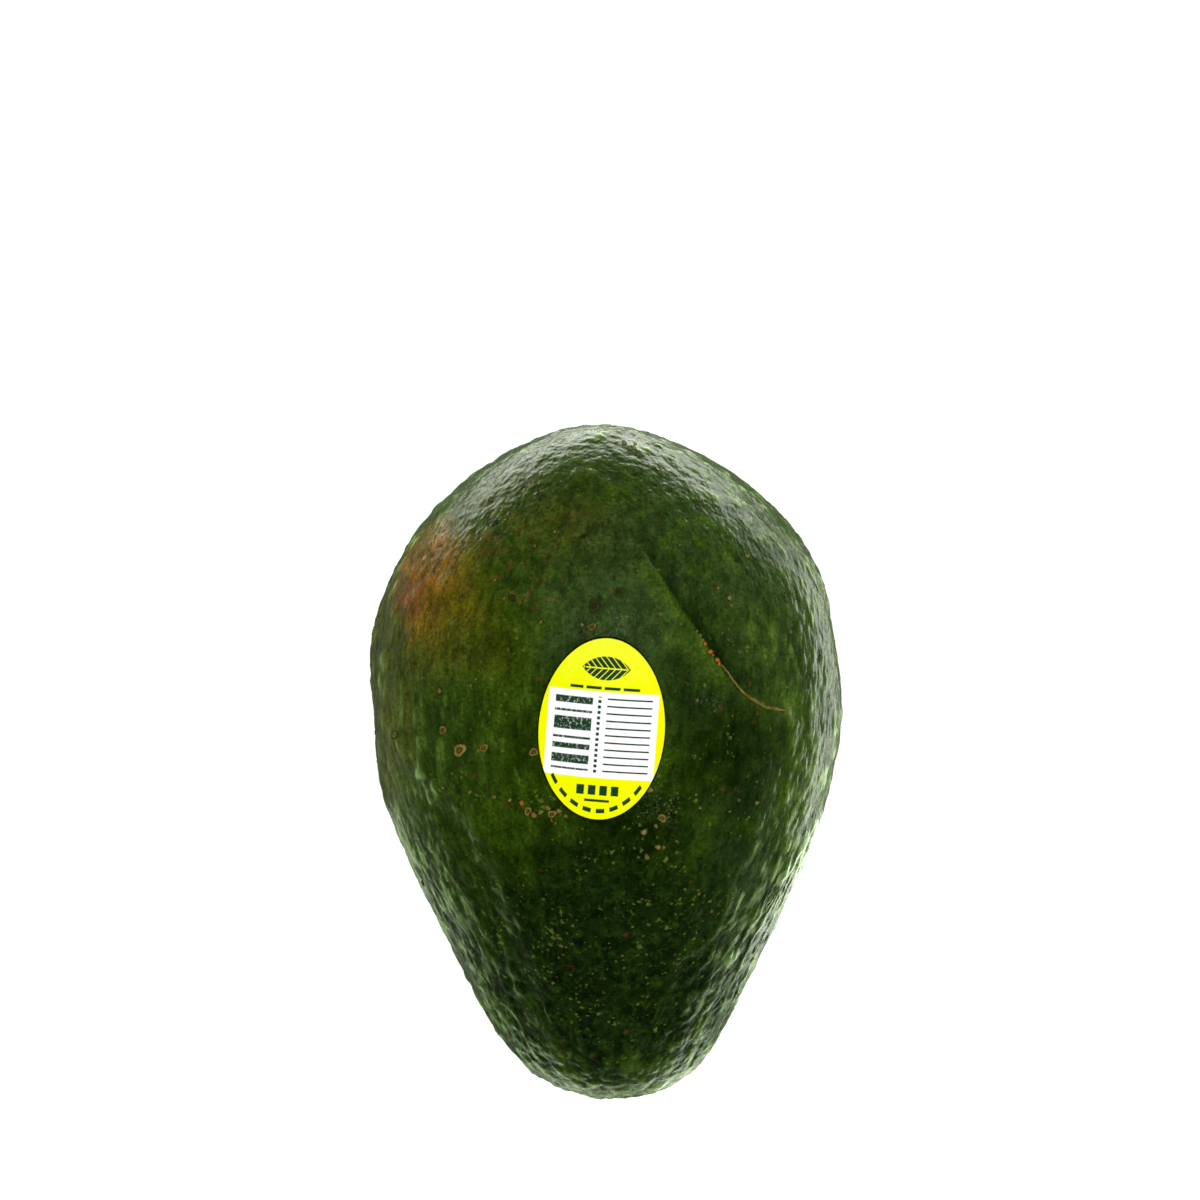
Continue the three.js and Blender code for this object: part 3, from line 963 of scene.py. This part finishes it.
marks = {
    # corky spots by pixel of the photograph: across, down, size, and tone from orange at -1 to dark at 1
    "spots": [
        (460, 750, 14, 0.1), (484, 748, 9, 0.1), (534, 752, 10, 0.2), (443, 730, 9, 0.4), (395, 735, 8, 0.4),
        (470, 792, 5, 0.2), (494, 797, 6, 0.2), (522, 803, 7, -0.8), (528, 811, 9, 0.1), (534, 815, 8, -0.2),
        (541, 812, 7, 0.1), (548, 808, 7, -0.2), (552, 814, 9, 0.1), (559, 811, 7, -0.3), (566, 816, 6, 0.2),
        (443, 788, 4, 0.1), (510, 800, 5, 0.2), (650, 790, 8, 0.0), (644, 832, 8, 0.0), (662, 818, 9, 0.0),
        (656, 826, 5, -0.2), (658, 847, 7, 0.0), (647, 857, 7, 0.1), (676, 812, 4, 0.0), (594, 606, 13, 0.88),
        (592, 627, 9, 0.4), (624, 443, 6, 0.3), (630, 449, 5, 0.4), (635, 444, 4, 0.3), (555, 532, 5, 0.3),
        (618, 592, 9, 0.92), (541, 622, 5, 0.2), (582, 625, 5, 0.0), (680, 545, 3, 0.0), (638, 571, 3, 0.1),
        (495, 580, 4, 0.1), (512, 598, 8, 0.92), (700, 500, 4, 0.4), (747, 556, 6, 0.3), (718, 588, 5, 0.3),
        (729, 598, 6, 0.25), (731, 605, 4, 0.3), (449, 620, 3, 0.0), (476, 679, 3, 0.0), (535, 546, 4, 0.1),
        (505, 520, 4, 0.1), (440, 545, 4, 0.2), (600, 470, 4, 0.5),
    ],
    # seeded ones on the hidden sides: how many, round which middle, over which height, their radii and tones
    "hiddenSpots": 46,
    "hiddenMiddle": (0, 0.004, 0.034),
    "lowest": 0.006,
    "hiddenRadii": (0.25, 0.8),
    "hiddenTones": [0.1, 0.2, 0.4, 0.85],
    "seed": 7,
    "cells": 12,
    "sunk": 0.03,
    "crust": 0.12,
    "height": 0.24,
    "lobes": (0.13, 0.09),  # how far two and three lobes swell its outline
    "dent": (0.55, 0.4),  # depth and reach
    "lump": (0.2, 0.6, 0.2),  # height, place and reach of what is raised round the dent
    "dented": 0.55,  # a spot of a greater radius has a dent
    "cored": 0.64,  # and of this one a dark core
    "scar": [
        (721, 665), (726, 671), (732, 679), (739, 689), (745, 694),
        (752, 699), (760, 704), (768, 708), (778, 710), (789, 710),
    ],
    "scarWidths": [0.5, 0.6, 0.6, 0.7, 1.7, 3.4, 3.2, 2.0, 1.8, 0.9],
    "scarTones": ([0, 3, 4, 6, 9], [0.2, 0.05, 0.45, 0.5, 0.3]),  # at these points of its path
    "scarBends": 2.3,  # of its noise, for each step of the path
    "scarSwell": (0.55, 0.9),  # the least swelling and how much more there may be
    "scarWander": 1.05,
    "scarCells": (240, 7),
    "scarHeight": 0.12,
    "scarBeads": [
        (697, 631, 3, -0.4), (700, 635, 2.5, -0.3), (703, 640, 3, -0.5), (705, 644, 5, -1),
        (710, 652, 6.5, -1), (713, 655, 3, -0.6), (717, 660, 6, -0.8), (719, 664, 5, -0.6),
        (748, 697, 4, 0.3), (752, 699, 5, 0.35), (757, 702, 5, 0.3), (763, 704, 4, 0.4),
    ],
}


def castFrom(solid, origin, target):
    return solid.ray_cast(Vector(origin), (Vector(target) - Vector(origin)).normalized())[:2]


def castPixel(solid, px, py):
    # the point and the normal of the skin that the photograph shows at a pixel
    half = view["imageSide"] / 2
    seen = Vector(((px - half) * view["pixel"], (half - py) * view["pixel"], -view["distance"])) * mm
    return solid.ray_cast(eye, seen.normalized())[:2]


def markPlaces(solid, chance):
    # by pixel where the photograph shows them, and by point and normal where it doesn't
    seen = marks["spots"] + marks["scarBeads"]
    places = [(px, py, size / 2 * view["pixel"], tone) for px, py, size, tone in seen]
    middle = Vector(marks["hiddenMiddle"])
    while len(places) < len(seen) + marks["hiddenSpots"]:
        way = Vector((chance.gauss(0, 1), chance.gauss(0, 1), chance.gauss(-0.3, 0.7))).normalized()
        hit, normal = castFrom(solid, middle + way * 0.09, middle)
        if way.z < 0.2 and way.y > -0.9 and hit.z > marks["lowest"]:
            radius = chance.uniform(*marks["hiddenRadii"])
            places.append((hit, normal, radius, chance.choice(marks["hiddenTones"])))
    return places


def onSkin(solid, first, second, across, along):
    # the point and the normal of the skin at a distance from a mark's middle, in millimetres
    if isinstance(first, Vector):
        side = second.orthogonal().normalized()
        beside = first + (side * across + second.cross(side) * along) * mm
        above = second * 0.004
        return castFrom(solid, beside + above, beside - above)
    return castPixel(solid, first + across / view["pixel"], second - along / view["pixel"])


def corkPiece(name, bm, cores, tones):
    piece = toPiece(name, bm, corkFinish)
    writeMask(piece.data, "fromCore", cores)
    writeMask(piece.data, "tone", tones)
    thicken(piece, "crust", marks["crust"], -1)


def makeMarks(solid):
    # low domes, dented in the middle where they are large
    chance = random.Random(marks["seed"])
    bm = bmesh.new()
    cores, tones = [], []
    two, three = marks["lobes"]
    depth, reach = marks["dent"]
    lumpHeight, lumpPlace, lumpReach = marks["lump"]
    for first, second, radius, tone in markPlaces(solid, chance):
        lobes = [chance.uniform(0, 6.28) for _ in range(3)]
        grid = bmesh.ops.create_grid(bm, x_segments=marks["cells"], y_segments=marks["cells"], size=1)
        for vert in grid["verts"]:
            u, v = (float(part[0]) for part in disc(np.array([vert.co[:2]])))
            out, around = math.hypot(u, v), math.atan2(v, u)
            uneven = 1 + two * math.sin(2 * around + lobes[0]) + three * math.sin(3 * around + lobes[1])
            edge = radius * uneven
            hit, normal = onSkin(solid, first, second, u * edge, v * edge)
            dome = min(1, radius * 1.3) * (1 - out**4)
            dent = depth * math.exp(-((out / reach) ** 2)) if radius > marks["dented"] else 0
            ring = math.exp(-(((out - lumpPlace) / lumpReach) ** 2))
            lump = lumpHeight * math.sin(5 * around + lobes[2]) * ring
            vert.co = hit + normal * (marks["height"] * (dome - dent + lump) - marks["sunk"]) * mm
            cores.append(out if radius > marks["cored"] else 0.6 + 0.4 * out)
            tones.append(tone)
    corkPiece("corkSpots", bm, cores, tones)


def makeScar(solid):
    # a narrow ragged ridge along the crease
    path = np.array(marks["scar"], dtype=float)
    knots = np.arange(len(path))

    def onPath(t):
        return np.stack([np.interp(t, knots, path[:, 0]), np.interp(t, knots, path[:, 1])], 1)

    bm = bmesh.new()
    rows, columns = marks["scarCells"]
    grid = bmesh.ops.create_grid(bm, x_segments=rows, y_segments=columns, size=1)["verts"]
    at = np.array([vert.co[:2] for vert in grid])
    t = (at[:, 0] / 2 + 0.5) * (len(path) - 1)
    middles = onPath(t)
    way = onPath(t + 0.3) - onPath(t - 0.3)
    way /= np.linalg.norm(way, axis=1)[:, None]
    noise = np.stack([t * marks["scarBends"], t * 0, t * 0], 1)
    least, more = marks["scarSwell"]
    beads = least + more * drift(noise * 2.2, 1, 41)
    wander = (drift(noise, 1, 42) - 0.5) * marks["scarWander"]
    taper = np.minimum(1, 6 * np.minimum(at[:, 0] / 2 + 0.5, 0.5 - at[:, 0] / 2) + 0.15)
    half = np.interp(t, knots, marks["scarWidths"]) / 2 * beads * taper
    cores, tones = [], []
    for n, vert in enumerate(grid):
        across = at[n, 1] * half[n] + wander[n]
        hit, normal = castPixel(solid, middles[n, 0] - way[n, 1] * across, middles[n, 1] + way[n, 0] * across)
        crown = 1 - at[n, 1] ** 2
        vert.co = hit + normal * (marks["scarHeight"] * crown * beads[n] - marks["sunk"] * (1 - crown)) * mm
        cores.append(0.6 + abs(at[n, 1]) * 0.25)
        tones.append(float(np.interp(t[n], *marks["scarTones"])))
    corkPiece("scarRidge", bm, cores, tones)


skinMesh = skinPiece.data
solidSkin = BVHTree.FromPolygons([v.co for v in skinMesh.vertices], [p.vertices for p in skinMesh.polygons])
makeMarks(solidSkin)
makeScar(solidSkin)
print("marks set")

studio = {
    "floorSize": 4.0,
    "floorDark": (0.18, 0.225, 0.145, 1),
    "floorPale": (0.2, 0.245, 0.162, 1),
    "floorWhite": 0.93,
    # height over the horizon as a share, and radiance
    "skyStops": [(0.0, 0.09), (0.2, 0.07), (0.4, 0.05), (0.6, 0.03), (1.0, 0.02)],
    "softbox": {"way": (0.1, 0.66, 0.74), "wide": 0.88, "narrow": 0.97, "glow": 1.9},
    "backdrop": 0.86,
    "overhead": {"place": (0.03, 0.24, 0.72), "aim": (0, 0, 0.03), "size": (0.6, 0.6), "power": 5.6},
    # cards that lie beside the fruit and face up: middle, size and power
    "cardHeight": 0.002,
    "cardTint": (0.98, 1.0, 0.91),
    "neckTint": (0.9, 1.0, 0.8),
    "cards": [
        ((0.005, 0.102), (0.22, 0.055), 0.32),
        ((0.07, 0.016), (0.026, 0.09), 0.034),
        ((-0.074, 0.016), (0.026, 0.09), 0.002),
        ((0.042, -0.032), (0.013, 0.04), 0.0085),
        ((-0.044, -0.032), (0.016, 0.04), 0.002),
        ((0.004, -0.082), (0.07, 0.028), 0.014),
        ((0.028, -0.066), (0.03, 0.024), 0.009),
        ((-0.022, -0.07), (0.03, 0.02), 0.004),
    ],
    # soft lamps without a glint, round the neck: place and power
    "lampAim": (0, 0, 0.035),
    "lampSize": (0.3, 0.2),
    "lamps": [((-0.34, -0.05, 0.1), 0.75), ((0.34, -0.05, 0.1), 1.15), ((0.0, -0.34, 0.1), 0.6)],
}


def makeFloor():
    # white where it is looked at, and dark in what the fruit mirrors of it
    bm = bmesh.new()
    bmesh.ops.create_grid(bm, x_segments=8, y_segments=8, size=studio["floorSize"])
    material, tree, shader = newMaterial("floorPaper")
    shade = cloud(tree, objectPlace(tree), 40.0, 2.0)
    colour = blend(tree, fade(tree, shade, 0.3, 0.7), studio["floorDark"], studio["floorPale"])
    tree.links.new(colour, shader.inputs["Base Color"])
    shader.inputs["Roughness"].default_value = 0.9
    shader.inputs["Specular IOR Level"].default_value = 0.1
    shader.inputs["Emission Color"].default_value = (1, 1, 1, 1)
    seen = put(tree, "LightPath").outputs["Is Camera Ray"]
    tree.links.new(product(tree, seen, studio["floorWhite"]), shader.inputs["Emission Strength"])
    floor = toObject("studioFloor", bm, material)


def makeLamp(name, place, aim, size, power, tint=None):
    # a lamp without a tint gives no glint
    lamp = bpy.data.lights.new(name, "AREA")
    lamp.shape = "RECTANGLE"
    lamp.size, lamp.size_y = size
    lamp.energy = power
    lamp.color = tint or (1, 1, 1)
    light = bpy.data.objects.new(name, lamp)
    light.location = place
    light.rotation_euler = (Vector(aim) - Vector(place)).to_track_quat("-Z", "Y").to_euler()
    light.visible_glossy = tint is not None
    light.visible_camera = False
    bpy.context.scene.collection.objects.link(light)


def makeSky():
    # dark, with one softbox behind the wide end, and pale to the camera
    world = bpy.data.worlds.new("studio")
    bpy.context.scene.world = world
    world.use_nodes = True
    tree = world.node_tree
    sky = put(tree, "TexCoord").outputs["Generated"]
    ramp = put(tree, "ValToRGB", [put(tree, "SeparateXYZ", [sky]).outputs[2]])
    stops = ramp.color_ramp.elements
    while len(stops) < len(studio["skyStops"]):
        stops.new(0.5)
    for stop, (height, glow) in zip(stops, studio["skyStops"]):
        stop.position = height
        stop.color = (glow, glow, glow, 1)
    box = studio["softbox"]
    facing = vectorCalc(tree, "DOT_PRODUCT", sky, box["way"], out="Value")
    glow = plus(tree, ramp.outputs[0], fade(tree, facing, box["wide"], box["narrow"], 0.0, box["glow"]))
    seen = put(tree, "LightPath").outputs["Is Camera Ray"]
    strength = fade(tree, seen, 0.0, 1.0, glow, studio["backdrop"])
    tree.links.new(strength, tree.nodes["Background"].inputs["Strength"])


def makeLights():
    # a broad soft lamp overhead, cards that glint beside the fruit, and soft lamps round its neck
    makeLamp("overhead", **studio["overhead"])
    for n, ((x, y), size, power) in enumerate(studio["cards"]):
        tint = studio["neckTint"] if y < 0 else studio["cardTint"]
        makeLamp("card" + str(n), (x, y, studio["cardHeight"]), (x, y, 1), size, power, tint)
    for n, (place, power) in enumerate(studio["lamps"]):
        makeLamp("lamp" + str(n), place, studio["lampAim"], studio["lampSize"], power)


def makeCamera():
    camera = bpy.data.objects.new("camera", bpy.data.cameras.new("camera"))
    camera.data.sensor_width = 36
    camera.data.lens = camera.data.sensor_width * view["distance"] / (view["pixel"] * view["imageSide"])
    camera.data.clip_start = 0.01
    camera.data.clip_end = 20
    camera.location = eye
    bpy.context.scene.collection.objects.link(camera)
    bpy.context.scene.camera = camera


makeFloor()
makeSky()
makeLights()
makeCamera()
bpy.context.scene.view_settings.view_transform = "Standard"
print("studio lit")
